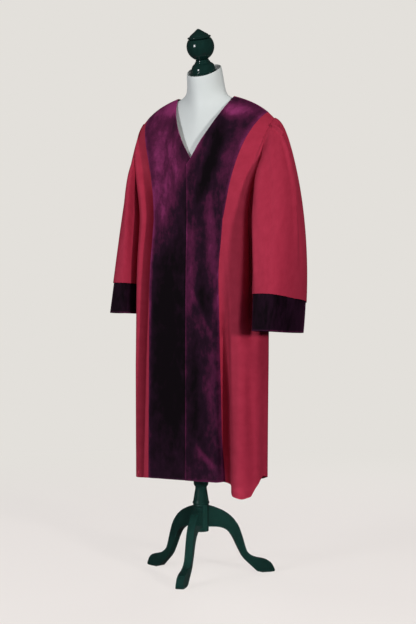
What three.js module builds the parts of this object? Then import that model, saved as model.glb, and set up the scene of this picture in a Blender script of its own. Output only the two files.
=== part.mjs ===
// A judicial robe worn by a limbless dress form on a turned tripod stand.
// Millimetres. +X is the wearer's left, +Y the wearer's back, and the floor is Z = 0.
// The robe's cloth is a thin wall: a front and a back rise from the hem as plan outlines, then
// blend at chest height into the neckline, the shoulder seams and the armholes.

import * as THREE from 'three';

const vec = (x, y, z) => new THREE.Vector3(x, y, z);
const { lerp, clamp, degToRad } = THREE.MathUtils;

// Driving dimensions of the robe

const robe = {
  wall: 2,
  velvetWall: 2.4,
  seamGap: 0.32,
  armholeGap: 0.6,
  hem: 303,
  chest: 1110,
  squareness: 3.1,
  halfWidth: 215,
  overlap: 11,
  underlap: 20,
  lapLift: 3.3,
  lapBlend: 45,
  lapSlope: 520,
  underarmReach: 10,
};

// Plan outline of the body at each height: half width at the side seams, depth front and back.
const outlines = [
  { height: 250, halfWidth: 222, front: 79, back: 97 },
  { height: 700, halfWidth: 224, front: 78, back: 97 },
  { height: 970, halfWidth: 221, front: 76, back: 97 },
  { height: 1110, halfWidth: 210, front: 71, back: 96 },
];

// Points of the upper edge, on the wearer's left. A bow is the control point of a curved edge.
const edge = {
  vPoint: vec(0, -66, 1297),
  neckBow: vec(70, -71, 1408),
  neckPoint: vec(100, 32, 1494),
  backNeckBow: vec(80, 106, 1486),
  backNeck: vec(0, 106, 1480),
  shoulderBow: vec(190, 42, 1470),
  shoulderTip: vec(234, 45, 1420),
  frontArmholeBow: vec(228, -62, 1340),
  backArmholeBow: vec(214, 108, 1290),
  underarm: vec(205, 4, 1175),
};

// A place round the body is a share: 0 at the centre line, 1 at the side seam.
const share = { neckPoint: 0.42, velvetEnd: 0.655, shoulderTip: 0.72 };

// How far the cloth leans back from the vertical where it meets its upper edge, in degrees.
const leans = [
  { share: 0, front: 4, back: 34 },
  { share: 0.42, front: 56, back: 58 },
  { share: 0.58, front: 66, back: 64 },
  { share: 0.72, front: 56, back: 56 },
  { share: 0.86, front: 22, back: 22 },
  { share: 1, front: 0, back: 0 },
];

// Width of the velvet from the centre front, along the cloth.
const velvetWidths = [
  { height: 303, left: 111, right: 146 },
  { height: 430, left: 104, right: 146 },
  { height: 700, left: 101, right: 145 },
  { height: 960, left: 102, right: 148 },
  { height: 1110, left: 122, right: 150 },
];

// How the velvet's edge runs up to the shoulder: 1 is even, more stays narrow for longer.
const velvetRise = { left: 0.72, right: 1.2 };

// Drapes of the body: place (0 centre front, 1 side seam, 2 centre back), how far that moves round
// up to the chest, half width as a share, how far they stand out, and the heights where they fade
// in (foot, 0 where they reach the hem) and out (top, over a stretch of fade).
const drapes = [
  { side: 1, at: 0.47, lean: -0.02, width: 0.11, out: -46, foot: 0, top: 1000, fade: 480 },
  { side: 1, at: 0.66, lean: 0, width: 0.17, out: 25, foot: 0, top: 1150, fade: 847 },
  { side: 1, at: 0.98, lean: 0, width: 0.15, out: -5, foot: 0, top: 1100, fade: 797 },
  { side: 1, at: 0.66, lean: 0.2, width: 0.14, out: -42, foot: 690, top: 1340, fade: 260 },
  { side: 1, at: 1.22, lean: 0, width: 0.16, out: -10, foot: 0, top: 1000, fade: 697 },
  { side: 1, at: 1.44, lean: 0, width: 0.14, out: 12, foot: 0, top: 1100, fade: 797 },
  { side: 1, at: 1.66, lean: 0, width: 0.13, out: -11, foot: 0, top: 1150, fade: 847 },
  { side: 1, at: 1.88, lean: 0, width: 0.12, out: 9, foot: 0, top: 1200, fade: 897 },
  { side: -1, at: 0.76, lean: -0.1, width: 0.115, out: -52, foot: 0, top: 1420, fade: 360 },
  { side: -1, at: 0.92, lean: 0, width: 0.09, out: -12, foot: 640, top: 1380, fade: 260 },
  { side: -1, at: 1.2, lean: 0, width: 0.16, out: 10, foot: 0, top: 1100, fade: 797 },
  { side: -1, at: 1.46, lean: 0, width: 0.14, out: -12, foot: 0, top: 1150, fade: 847 },
  { side: -1, at: 1.72, lean: 0, width: 0.14, out: 12, foot: 0, top: 1100, fade: 797 },
];

// How far below the even hem the edge hangs at each place.
const hemDrops = [
  { place: 0, left: 0, right: 0 },
  { place: 0.42, left: 0, right: 1 },
  { place: 0.52, left: 17, right: 2 },
  { place: 0.58, left: 37, right: 2 },
  { place: 0.69, left: 44, right: 4 },
  { place: 0.78, left: 38, right: 9 },
  { place: 0.84, left: 12, right: 9 },
  { place: 0.92, left: -9, right: 5 },
  { place: 1, left: -20, right: 2 },
  { place: 1.2, left: -8, right: 6 },
  { place: 1.45, left: 6, right: 0 },
  { place: 1.72, left: 2, right: 8 },
  { place: 1.88, left: 5, right: 3 },
  { place: 2, left: 2, right: 2 },
];

const footFade = 130;
const edgeCalm = 0.3;

// Sleeves, one row for each side. The end is the mouth of the cuff.
const sleeves = [
  {
    side: 1, name: 'left', endX: 285, endY: -34, endZ: 766, halfAcross: 54, halfAlong: 123,
    frontRise: 8, cuffHeight: 115, cuffFrontExtra: 10, headReach: 56, headDrop: 16, belly: 42,
  },
  {
    side: -1, name: 'right', endX: 282, endY: 62, endZ: 809, halfAcross: 49, halfAlong: 114,
    frontRise: 6, cuffHeight: 108, cuffFrontExtra: 2, headReach: 12, headDrop: 88, belly: -52,
  },
];

// Pleats of the sleeve heads: place round the sleeve in degrees (0 outside, 90 front, 270 back),
// half width in degrees, how far they stand out, and where along the sleeve they start and end.
const sleevePleats = [
  { side: 1, at: 108, width: 34, out: 30, from: 0.05, to: 1.15 },
  { side: 1, at: 74, width: 36, out: 9, from: 0.05, to: 0.5 },
  { side: 1, at: 332, width: 20, out: -11, from: 0.08, to: 0.45 },
  { side: 1, at: 306, width: 22, out: 8, from: 0.06, to: 0.6 },
  { side: -1, at: 102, width: 30, out: 26, from: 0.05, to: 0.9 },
  { side: -1, at: 330, width: 22, out: -9, from: 0.08, to: 0.5 },
];

const sleeveEndSquareness = 2.6;
const sleeveTuck = 14;
const cuffLift = 3.1;
const neckFacing = { wall: 1.2, gap: 0.4 };

// How finely the cloth is divided
const rows = { lower: 8, sleeve: 13, cuff: 2 };
const upperRises = [1, 1.16, 1.32, 1.47, 1.61, 1.73, 1.84, 1.93, 2];
const columns = { neck: 6, shoulder: 3, armhole: 12 };

// Small helpers

const smooth = (t) => t * t * (3 - 2 * t);
const bell = (t) => (Math.abs(t) < 1 ? Math.cos((Math.PI * t) / 2) ** 2 : 0);

function readTable(table, key, value, column) {
  if (value <= table[0][key]) return table[0][column];
  for (let row = 1; row < table.length; row += 1) {
    const low = table[row - 1];
    const high = table[row];
    if (value <= high[key]) {
      return lerp(low[column], high[column], (value - low[key]) / (high[key] - low[key]));
    }
  }
  return table[table.length - 1][column];
}

function bezier(points, t) {
  let level = points;
  while (level.length > 1) {
    level = level.slice(1).map((point, i) => level[i].clone().lerp(point, t));
  }
  return level[0];
}

const steps = (count, from, to) => Array.from({ length: count + 1 }, (_, i) => lerp(from, to, i / count));

// Plan outline: a rounded rectangle as a superellipse, and its even division by length

function outlineRadius(angle, halfWidth, depth, squareness) {
  const across = Math.abs(Math.sin(angle) / halfWidth) ** squareness;
  const along = Math.abs(Math.cos(angle) / depth) ** squareness;
  return (across + along) ** (-1 / squareness);
}

function evenQuarter(depth) {
  const { halfWidth, squareness } = robe;
  const count = 90;
  const angles = steps(count, 0, Math.PI / 2);
  const lengths = [0];
  for (let i = 1; i <= count; i += 1) {
    const [a, b] = [angles[i - 1], angles[i]].map((angle) => {
      const radius = outlineRadius(angle, halfWidth, depth, squareness);
      return new THREE.Vector2(radius * Math.sin(angle), radius * Math.cos(angle));
    });
    lengths.push(lengths[i - 1] + a.distanceTo(b));
  }
  const total = lengths[count];
  return { total, table: angles.map((angle, i) => ({ share: lengths[i] / total, angle })) };
}

const frontQuarter = evenQuarter(77);
const backQuarter = evenQuarter(97);

// The robe's body

function standOut(side, place, height) {
  const up = clamp((height - robe.hem) / (robe.chest - robe.hem), 0, 1);
  return drapes
    .filter((drape) => drape.side === side)
    .reduce((sum, drape) => {
      const fade = smooth(clamp((drape.top - height) / drape.fade, 0, 1));
      const foot = drape.foot ? smooth(clamp((height - drape.foot) / footFade, 0, 1)) : 1;
      const at = drape.at + drape.lean * up;
      return sum + drape.out * fade * foot * bell((place - at) / drape.width);
    }, 0);
}

function bodyOutline(side, place, height) {
  const isFront = place < 1;
  const part = isFront ? place : 2 - place;
  const { table } = isFront ? frontQuarter : backQuarter;
  const angle = readTable(table, 'share', part, 'angle');
  const halfWidth = readTable(outlines, 'height', height, 'halfWidth');
  const depth = readTable(outlines, 'height', height, isFront ? 'front' : 'back');
  const radius = outlineRadius(angle, halfWidth, depth, robe.squareness);
  const x = radius * Math.sin(angle);
  const y = radius * Math.cos(angle);
  const power = robe.squareness - 1;
  const normal = new THREE.Vector2(
    Math.abs(x / halfWidth) ** power / halfWidth,
    Math.abs(y / depth) ** power / depth,
  ).normalize();
  const facing = isFront ? -1 : 1;
  const level = vec(side * normal.x, facing * normal.y, 0);
  return { point: vec(side * x, facing * y, height), level };
}

function upperEdge(side, place) {
  const isFront = place <= 1;
  const part = isFront ? place : 2 - place;
  let point;
  if (part <= share.neckPoint) {
    const curve = isFront
      ? [edge.vPoint, edge.neckBow, edge.neckPoint]
      : [edge.backNeck, edge.backNeckBow, edge.neckPoint];
    point = bezier(curve, part / share.neckPoint);
  } else if (part <= share.shoulderTip) {
    const t = (part - share.neckPoint) / (share.shoulderTip - share.neckPoint);
    point = bezier([edge.neckPoint, edge.shoulderBow, edge.shoulderTip], t);
  } else {
    const bow = isFront ? edge.frontArmholeBow : edge.backArmholeBow;
    const t = (part - share.shoulderTip) / (1 - share.shoulderTip);
    point = bezier([edge.shoulderTip, bow, edge.underarm], t);
  }
  return vec(side * point.x, point.y, point.z);
}

// A point of the body: rise runs 0 to 1 from the hem to the chest, and 1 to 2 up to the edge.
// A place below 0 is past the centre front, on the other side's surface and under its neckline.
function bodyPoint(side, place, rise) {
  if (place < 0) {
    const neckline = edge.vPoint.z + robe.lapSlope * place - robe.chest;
    const cut = neckline / (upperEdge(-side, -place).z - robe.chest);
    return bodyPoint(-side, -place, rise <= 1 ? rise : 1 + (rise - 1) * cut);
  }
  if (rise <= 1) {
    const hem = robe.hem - readTable(hemDrops, 'place', place, side > 0 ? 'left' : 'right');
    const { point, level } = bodyOutline(side, place, lerp(hem, robe.chest, rise));
    return point.add(level.multiplyScalar(standOut(side, place, point.z)));
  }
  const { point: from, level: fromLevel } = bodyOutline(side, place, robe.chest);
  const to = upperEdge(side, place);
  const isFront = place <= 1;
  const part = Math.abs(isFront ? place : 2 - place);
  const lean = degToRad(readTable(leans, 'share', part, isFront ? 'front' : 'back'));
  const length = from.distanceTo(to);
  const start = from.clone().add(vec(0, 0, length * 0.36));
  const back = vec(0, (isFront ? 1 : -1) * Math.sin(lean), Math.cos(lean));
  const end = to.clone().sub(back.multiplyScalar(length * 0.3));
  const point = bezier([from, start, end, to], rise - 1);
  const calm = smooth(clamp((2 - rise) / edgeCalm, 0, 1));
  return point.add(fromLevel.multiplyScalar(standOut(side, place, point.z) * calm));
}

function velvetShare(side, rise) {
  const column = side > 0 ? 'left' : 'right';
  const height = lerp(robe.hem, robe.chest, Math.min(rise, 1));
  const low = readTable(velvetWidths, 'height', height, column) / frontQuarter.total;
  return rise <= 1 ? low : lerp(low, share.velvetEnd, (rise - 1) ** velvetRise[column]);
}

const rises = [...steps(rows.lower, 0, 1), ...upperRises.slice(1)];

// Cloth sheets: grids of points, with which way their outside faces

function sheet(name, points, turn, options = {}) {
  return { name, points, turn, wraps: false, wall: robe.wall, lift: () => 0, ...options };
}

function velvetSheet(side) {
  const lap = side > 0 ? robe.overlap : robe.underlap;
  const inner = -lap / frontQuarter.total;
  const neckPart = (share.neckPoint - inner) / (share.velvetEnd - inner);
  const parts = [...steps(columns.neck, 0, neckPart), ...steps(columns.shoulder, neckPart, 1).slice(1)];
  const points = rises.map((rise) => parts.map((part) => {
    return bodyPoint(side, lerp(inner, velvetShare(side, rise), part), rise);
  }));
  const lift = (point) => robe.lapLift * smooth(clamp(1 - (point.x - robe.underlap) / robe.lapBlend, 0, 1));
  return sheet(side > 0 ? 'velvet_left' : 'velvet_right', points, side, {
    wall: robe.velvetWall,
    lift: side > 0 ? lift : () => 0,
  });
}

function frontSheet(side) {
  const tip = (share.shoulderTip - share.velvetEnd) / (1 - share.velvetEnd);
  const parts = [0, ...steps(columns.armhole, tip, 1)];
  const points = rises.map((rise) => parts.map((part) => {
    return bodyPoint(side, lerp(velvetShare(side, rise), 1, part), rise);
  }));
  return sheet(side > 0 ? 'front_left' : 'front_right', points, side);
}

function backSheet() {
  const neck = velvetNeckParts();
  const top = [
    ...steps(columns.armhole, 1, share.shoulderTip),
    share.velvetEnd,
    ...neck.shoulder,
    ...neck.neckline,
  ].map((part) => 2 - part);
  const count = top.length - 1;
  const half = (side) => rises.map((rise) => top.map((place, i) => {
    const even = lerp(1, 2, i / count);
    return bodyPoint(side, lerp(even, place, smooth(clamp(rise - 1, 0, 1))), rise);
  }));
  const left = half(1);
  const right = half(-1).map((row) => row.slice(0, -1).reverse());
  return sheet('back', left.map((row, i) => [...row, ...right[i]]), 1);
}

// The back's upper edge is divided where the velvet's is, so that the shoulder seams match.
function velvetNeckParts() {
  return {
    shoulder: steps(columns.shoulder, share.velvetEnd, share.neckPoint).slice(1),
    neckline: steps(columns.neck, share.neckPoint, 0).slice(1),
  };
}

// Sleeves

function armholePoint(side, turnPart) {
  const place = turnPart <= 0.5
    ? lerp(share.shoulderTip, 1, turnPart * 2)
    : lerp(1, 2 - share.shoulderTip, turnPart * 2 - 1);
  return upperEdge(side, place);
}

const rounded = (value, power) => Math.sign(value) * Math.abs(value) ** power;

function sleeveEnd(sleeve, angle) {
  const power = 2 / sleeveEndSquareness;
  const out = sleeve.halfAcross * rounded(Math.cos(angle), power);
  const forward = sleeve.halfAlong * rounded(Math.sin(angle), power);
  const height = sleeve.endZ + sleeve.frontRise * Math.sin(angle);
  return vec(sleeve.side * (sleeve.endX + out), sleeve.endY - forward, height);
}

function sleeveLine(sleeve, turnPart) {
  const angle = turnPart * 2 * Math.PI;
  const start = armholePoint(sleeve.side, turnPart);
  const end = sleeveEnd(sleeve, angle);
  const outside = (1 + Math.cos(angle)) / 2;
  const forward = Math.sin(angle);
  const reach = robe.underarmReach + sleeve.headReach * outside;
  const drop = lerp(70, sleeve.headDrop, outside);
  const first = start.clone().add(vec(sleeve.side * reach, -28 * forward, -drop));
  const rise = (start.z - end.z) * 0.52;
  const second = end.clone().add(vec(sleeve.side * sleeve.belly * outside, 6 * forward, rise));
  return [start, first, second, end];
}

function pleat(sleeve, turnPart, t) {
  return sleevePleats
    .filter((row) => row.side === sleeve.side)
    .reduce((sum, row) => {
      const away = ((turnPart * 360 - row.at + 540) % 360) - 180;
      const along = clamp((t - row.from) / (row.to - row.from), 0, 1);
      return sum + row.out * bell(away / row.width) * Math.sin(Math.PI * Math.sqrt(along)) ** 2;
    }, 0);
}

function sleevePoint(sleeve, turnPart, t) {
  const point = bezier(sleeveLine(sleeve, turnPart), t);
  const angle = turnPart * 2 * Math.PI;
  const out = pleat(sleeve, turnPart, t);
  return point.add(vec(sleeve.side * Math.cos(angle) * out, -Math.sin(angle) * out, 0));
}

// The place along the sleeve that lies a given height above its mouth.
function placeAbove(sleeve, turnPart, height) {
  const target = sleevePoint(sleeve, turnPart, 1).z + height;
  let low = 0;
  let high = 1;
  for (let i = 0; i < 24; i += 1) {
    const middle = (low + high) / 2;
    if (sleevePoint(sleeve, turnPart, middle).z > target) low = middle;
    else high = middle;
  }
  return (low + high) / 2;
}

const turnParts = steps(2 * columns.armhole, 0, 1).slice(0, -1);

function cuffHeightAt(sleeve, part) {
  return sleeve.cuffHeight + sleeve.cuffFrontExtra * Math.sin(part * 2 * Math.PI);
}

function sleeveSheet(sleeve) {
  const ends = turnParts.map((part) => placeAbove(sleeve, part, cuffHeightAt(sleeve, part) - sleeveTuck));
  const points = steps(rows.sleeve, 0, 1).map((row) => turnParts.map((part, i) => {
    return sleevePoint(sleeve, part, ends[i] * row);
  }));
  return sheet(`sleeve_${sleeve.name}`, points, sleeve.side, { wraps: true, armhole: true });
}

function cuffSheet(sleeve) {
  const starts = turnParts.map((part) => placeAbove(sleeve, part, cuffHeightAt(sleeve, part)));
  const points = steps(rows.cuff, 0, 1).map((row) => turnParts.map((part, i) => {
    return sleevePoint(sleeve, part, lerp(starts[i], 1, row));
  }));
  return sheet(`cuff_${sleeve.name}`, points, sleeve.side, {
    wraps: true,
    wall: robe.velvetWall,
    lift: () => cuffLift,
  });
}

// From sheets to walls

const keyOf = (point) => [point.x, point.y, point.z].map((value) => value.toFixed(2)).join(' ');

function eachQuad(cloth, visit) {
  const width = cloth.points[0].length;
  const across = cloth.wraps ? width : width - 1;
  for (let row = 0; row < cloth.points.length - 1; row += 1) {
    for (let column = 0; column < across; column += 1) visit(row, column, (column + 1) % width);
  }
}

function normalSums(sheets) {
  const sums = new Map();
  sheets.forEach((cloth) => eachQuad(cloth, (row, left, right) => {
    const [a, b, c, d] = [
      cloth.points[row][left], cloth.points[row][right],
      cloth.points[row + 1][right], cloth.points[row + 1][left],
    ];
    const normal = c.clone().sub(a).cross(d.clone().sub(b)).multiplyScalar(cloth.turn).normalize();
    [a, b, c, d].forEach((corner) => {
      const key = keyOf(corner);
      if (!sums.has(key)) sums.set(key, vec(0, 0, 0));
      sums.get(key).add(normal);
    });
  }));
  return sums;
}

function wallGeometry(outer, inner, wraps) {
  const height = outer.length;
  const width = outer[0].length;
  const flat = [...outer.flat(), ...inner.flat()].flatMap((point) => [point.x, point.y, point.z]);
  const out = (row, column) => row * width + (column % width);
  const back = (row, column) => height * width + out(row, column);
  const triangles = [];
  const quad = (a, b, c, d) => triangles.push(a, b, c, a, c, d);
  const across = wraps ? width : width - 1;
  for (let row = 0; row < height - 1; row += 1) {
    for (let column = 0; column < across; column += 1) {
      quad(out(row, column), out(row, column + 1), out(row + 1, column + 1), out(row + 1, column));
      quad(back(row, column), back(row + 1, column), back(row + 1, column + 1), back(row, column + 1));
    }
  }
  for (let column = 0; column < across; column += 1) {
    const top = height - 1;
    quad(out(0, column + 1), out(0, column), back(0, column), back(0, column + 1));
    quad(out(top, column), out(top, column + 1), back(top, column + 1), back(top, column));
  }
  if (!wraps) {
    for (let row = 0; row < height - 1; row += 1) {
      const side = width - 1;
      quad(out(row, 0), out(row + 1, 0), back(row + 1, 0), back(row, 0));
      quad(out(row + 1, side), out(row, side), back(row, side), back(row + 1, side));
    }
  }
  return solidGeometry(flat, triangles);
}

// A closed body from its corner points and triangles, turned so that its faces point out.
function solidGeometry(positions, triangles) {
  const geometry = new THREE.BufferGeometry();
  geometry.setAttribute('position', new THREE.Float32BufferAttribute(positions, 3));
  const corner = (index) => vec(...positions.slice(index * 3, index * 3 + 3));
  let volume = 0;
  for (let i = 0; i < triangles.length; i += 3) {
    const [a, b, c] = [0, 1, 2].map((step) => corner(triangles[i + step]));
    volume += a.dot(b.cross(c));
  }
  geometry.setIndex(volume > 0 ? triangles : triangles.slice().reverse());
  geometry.computeVertexNormals();
  return geometry;
}

// Seam edges draw back by half the gap, towards the next row or column of their own sheet.
// A sleeve stands off its armhole sideways instead, because under the arm both hang straight down.
// Where its head falls steeply it stands off by its wall as well.
function wallOf(cloth, sewn) {
  const { points, wraps } = cloth;
  const own = normalSums([cloth]);
  const lastRow = points.length - 1;
  const lastColumn = points[0].length - 1;
  const draw = robe.seamGap / 2;
  const outer = [];
  const inner = [];
  points.forEach((line, row) => {
    outer.push([]);
    inner.push([]);
    line.forEach((point, column) => {
      const straight = own.get(keyOf(point)).clone().normalize();
      const mitre = sewn.get(keyOf(point)).clone().normalize();
      const normal = mitre.dot(straight) > 0.75 ? mitre : straight;
      const shift = vec(0, 0, 0);
      const pull = (other) => shift.add(other.clone().sub(point).setLength(draw));
      if (row === 0 && cloth.armhole) {
        const outward = Math.max(0, cloth.turn * normal.x);
        shift.x = cloth.turn * (robe.armholeGap + cloth.wall * outward);
      }
      if (row === lastRow && cloth.topSeam) pull(points[lastRow - 1][column]);
      if (!wraps && column === 0) pull(points[row][1]);
      if (!wraps && column === lastColumn) pull(points[row][lastColumn - 1]);
      const lifted = point.clone().add(shift).addScaledVector(normal, cloth.lift(point));
      outer[row].push(lifted);
      inner[row].push(lifted.clone().addScaledVector(normal, -cloth.wall));
    });
  });
  return wallGeometry(outer, inner, wraps);
}

// The facing lies under the top row of the back, between the neck points.
function neckFacingSheet(back) {
  const start = columns.armhole + 1 + columns.shoulder;
  const end = start + 2 * columns.neck;
  const points = back.points.slice(-2).map((row) => row.slice(start, end + 1));
  return sheet('neck_facing', points, back.turn, {
    wall: neckFacing.wall,
    lift: () => -(robe.wall + neckFacing.gap),
  });
}

// The dress form: closed rings from the foot of the torso to the top of the neck

const formRings = [
  {
    halfWidth: 140, front: -52, sideY: 8, back: 66,
    frontZ: 700, sideZ: 700, backZ: 700, square: 2.3, fall: 2,
  },
  {
    halfWidth: 146, front: -58, sideY: 8, back: 76,
    frontZ: 760, sideZ: 760, backZ: 760, square: 2.3, fall: 2,
  },
  {
    halfWidth: 148, front: -58, sideY: 8, back: 78,
    frontZ: 850, sideZ: 850, backZ: 850, square: 2.3, fall: 2,
  },
  {
    halfWidth: 136, front: -48, sideY: 8, back: 66,
    frontZ: 1000, sideZ: 1000, backZ: 1000, square: 2.3, fall: 2,
  },
  {
    halfWidth: 144, front: -56, sideY: 10, back: 76,
    frontZ: 1130, sideZ: 1130, backZ: 1130, square: 2.4, fall: 2,
  },
  {
    halfWidth: 172, front: -60, sideY: 14, back: 84,
    frontZ: 1240, sideZ: 1240, backZ: 1250, square: 2.4, fall: 2,
  },
  {
    halfWidth: 196, front: -59, sideY: 22, back: 88,
    frontZ: 1295, sideZ: 1340, backZ: 1310, square: 2.3, fall: 2,
  },
  {
    halfWidth: 202, front: -53, sideY: 34, back: 91,
    frontZ: 1336, sideZ: 1412, backZ: 1355, square: 2, fall: 2,
  },
  {
    halfWidth: 192, front: -44, sideY: 41.6, back: 92,
    frontZ: 1366, sideZ: 1448.8, backZ: 1380, square: 1.5, fall: 2,
  },
  {
    halfWidth: 150, front: -36, sideY: 37.4, back: 93,
    frontZ: 1396, sideZ: 1466.9, backZ: 1408, square: 1.42, fall: 2,
  },
  {
    halfWidth: 106, front: -27, sideY: 32.5, back: 95,
    frontZ: 1430, sideZ: 1484.6, backZ: 1432, square: 1.36, fall: 2,
  },
  {
    halfWidth: 72, front: -20, sideY: 34, back: 94,
    frontZ: 1460, sideZ: 1498.5, backZ: 1466, square: 1.7, fall: 2,
  },
  {
    halfWidth: 60, front: -21, sideY: 34, back: 90,
    frontZ: 1500, sideZ: 1526, backZ: 1526, square: 2, fall: 1.5,
  },
  {
    halfWidth: 56, front: -34, sideY: 19.5, back: 73,
    frontZ: 1552, sideZ: 1583, backZ: 1606, square: 2, fall: 1,
  },
  {
    halfWidth: 52, front: -30.5, sideY: 19.5, back: 69.5,
    frontZ: 1552.6, sideZ: 1581, backZ: 1602, square: 2, fall: 1,
  },
  {
    halfWidth: 50, front: -28.5, sideY: 19.5, back: 67.5,
    frontZ: 1553.7, sideZ: 1567.5, backZ: 1581.3, square: 2, fall: 1,
  },
];
const formSides = 32;

function formGeometry() {
  const rings = formRings.map((ring) => steps(formSides, 0, 2 * Math.PI).slice(0, -1).map((angle) => {
    const power = 2 / ring.square;
    const sine = Math.sin(angle);
    const cosine = Math.cos(angle);
    const [endY, endZ] = cosine > 0 ? [ring.back, ring.backZ] : [ring.front, ring.frontZ];
    const x = ring.halfWidth * rounded(sine, power);
    const y = lerp(ring.sideY, endY, Math.abs(cosine) ** power);
    return vec(x, y, lerp(ring.sideZ, endZ, Math.abs(cosine) ** ring.fall));
  }));
  const positions = rings.flat().flatMap((point) => [point.x, point.y, point.z]);
  const triangles = [];
  for (let ring = 0; ring < rings.length - 1; ring += 1) {
    for (let side = 0; side < formSides; side += 1) {
      const next = (side + 1) % formSides;
      const [a, b] = [ring * formSides + side, ring * formSides + next];
      triangles.push(a, b, b + formSides, a, b + formSides, a + formSides);
    }
  }
  [rings[0], rings[rings.length - 1]].forEach((ring, end) => {
    const centre = ring.reduce((sum, point) => sum.add(point), vec(0, 0, 0)).divideScalar(formSides);
    const middle = positions.length / 3;
    positions.push(centre.x, centre.y, centre.z);
    const first = end === 0 ? 0 : (rings.length - 1) * formSides;
    for (let side = 0; side < formSides; side += 1) {
      const next = (side + 1) % formSides;
      const pair = end === 0 ? [first + next, first + side] : [first + side, first + next];
      triangles.push(middle, ...pair);
    }
  });
  return solidGeometry(positions, triangles);
}

// Turned wood: profiles of radius and height, from the axis at the foot to the axis at the top

function turned(profile, sides) {
  const outline = profile.map(([radius, height]) => new THREE.Vector2(radius, height));
  const geometry = new THREE.LatheGeometry(outline, sides);
  geometry.rotateX(Math.PI / 2);
  return geometry;
}

function arcPoints(centreRadius, centreHeight, radius, from, to, count) {
  return steps(count, from, to).map((angle) => [
    Math.max(0, centreRadius + radius * Math.cos(degToRad(angle))),
    centreHeight + radius * Math.sin(degToRad(angle)),
  ]);
}

const neckBlock = { lean: 16, foot: vec(0, 19.5, 1567.8) };
const finialBase = [
  [0, 0], [46, 0], ...arcPoints(45, 2.5, 2.5, -90, 90, 4).slice(1), [38.5, 6],
  [38.2, 13], [37, 20], [33.5, 27], [29, 31.5], [24.6, 34], [24.6, 37.4], [21, 39], [20.6, 46], [0, 46],
];
const finialBall = [[0, 46.3], [20.6, 46.3], ...arcPoints(0, 85, 43.6, -61, 36, 10).slice(1), [0, 110.6]];
const finialCap = [
  [0, 110.9], [32, 110.9], [36, 112.4], [37.2, 114.6], [36, 116.6],
  [30, 118.4], [29, 121.5], [22, 126.5], [13.5, 132.5], [6, 138.4], [2.5, 140.6], [0, 141],
];

const stand = { hubRadius: 24.5, hubFoot: 136, hubTop: 221.4, columnTop: 699.7, legThickness: 24 };
const hubProfile = [
  [0, stand.hubFoot], [22.5, stand.hubFoot], [24.5, stand.hubFoot + 2],
  [24.5, stand.hubTop - 1], [23.5, stand.hubTop], [0, stand.hubTop],
];
const columnProfile = [
  [0, 221.7], [24.5, 221.7], [26.2, 224], [26.2, 228.6], [24.2, 231], [23.6, 236], [20.4, 256],
  [17.6, 273], [18.4, 276], [22.4, 281], [23.4, 287], [22.8, 300], [19, 340], [17.5, 380],
  [17.5, 694], [17, stand.columnTop], [0, stand.columnTop],
];

// A leg's outline: distance from the stand's axis, and height. The hub end is cut round later.
const legTop = [
  [24.8, 217], [50, 208], [77, 196], [99.5, 178], [119, 152], [132, 116],
  [142, 81], [149, 64], [172, 48], [211, 39.5], [227, 29], [238.7, 6],
];
const legUnder = [
  [235, 0], [185, 0], [165, 19], [136, 46], [119, 78], [103, 112],
  [90, 131], [73.5, 143], [54, 149], [24.8, 151],
];
const legNames = ['leg_front', 'leg_left', 'leg_right'];
const frontLegTurn = 13;

function legGeometry() {
  const outline = new THREE.Shape([...legTop, ...legUnder].map(([x, y]) => new THREE.Vector2(x, y)));
  const geometry = new THREE.ExtrudeGeometry(outline, {
    depth: stand.legThickness,
    steps: 4,
    bevelEnabled: false,
  });
  geometry.rotateX(Math.PI / 2);
  geometry.translate(0, stand.legThickness / 2, 0);
  const positions = geometry.attributes.position;
  const round = stand.hubRadius + 0.3;
  for (let i = 0; i < positions.count; i += 1) {
    const isHubEnd = positions.getX(i) < round + 0.1;
    if (isHubEnd) positions.setX(i, Math.sqrt(round * round - positions.getY(i) ** 2));
  }
  return geometry;
}

// Colours and finishes

const crimson = new THREE.MeshStandardMaterial({ color: '#a5314a', roughness: 0.85, side: THREE.DoubleSide });
const velvet = new THREE.MeshStandardMaterial({ color: '#431c36', roughness: 0.95 });
const facingCloth = new THREE.MeshStandardMaterial({ color: '#26332f', roughness: 0.8 });
const formWhite = new THREE.MeshStandardMaterial({ color: '#e3e7e3', roughness: 0.6 });
const greenLacquer = new THREE.MeshStandardMaterial({ color: '#1b2f2b', roughness: 0.3 });

const object = new THREE.Group();

function place(name, geometry, material, parent = object) {
  const mesh = new THREE.Mesh(geometry, material);
  mesh.name = name;
  parent.add(mesh);
  return mesh;
}

// Robe

const bodySheets = [velvetSheet(1), velvetSheet(-1), frontSheet(1), frontSheet(-1), backSheet()];
const sleeveSheets = sleeves.map(sleeveSheet);
bodySheets.forEach((cloth) => Object.assign(cloth, { topSeam: true }));
const sewn = normalSums([...bodySheets, ...sleeveSheets]);
[...bodySheets, ...sleeveSheets].forEach((cloth) => {
  place(cloth.name, wallOf(cloth, sewn), cloth.name.startsWith('velvet') ? velvet : crimson);
});
sleeves.map(cuffSheet).forEach((cloth) => {
  place(cloth.name, wallOf(cloth, normalSums([cloth])), velvet);
});
const facing = neckFacingSheet(bodySheets[4]);
place(facing.name, wallOf(facing, sewn), facingCloth);

// Dress form and neck block

place('torso', formGeometry(), formWhite);
const block = new THREE.Group();
block.position.copy(neckBlock.foot);
block.rotation.x = degToRad(neckBlock.lean);
object.add(block);
place('finial_base', turned(finialBase, 32), greenLacquer, block);
place('finial_ball', turned(finialBall, 32), greenLacquer, block);
place('finial_cap', turned(finialCap, 32), greenLacquer, block);

// Stand

place('column', turned(columnProfile, 24), greenLacquer);
place('hub', turned(hubProfile, 24), greenLacquer);
legNames.forEach((name, i) => {
  const leg = place(name, legGeometry(), greenLacquer);
  leg.rotation.z = degToRad(-90 + frontLegTurn + 120 * i);
});

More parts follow.
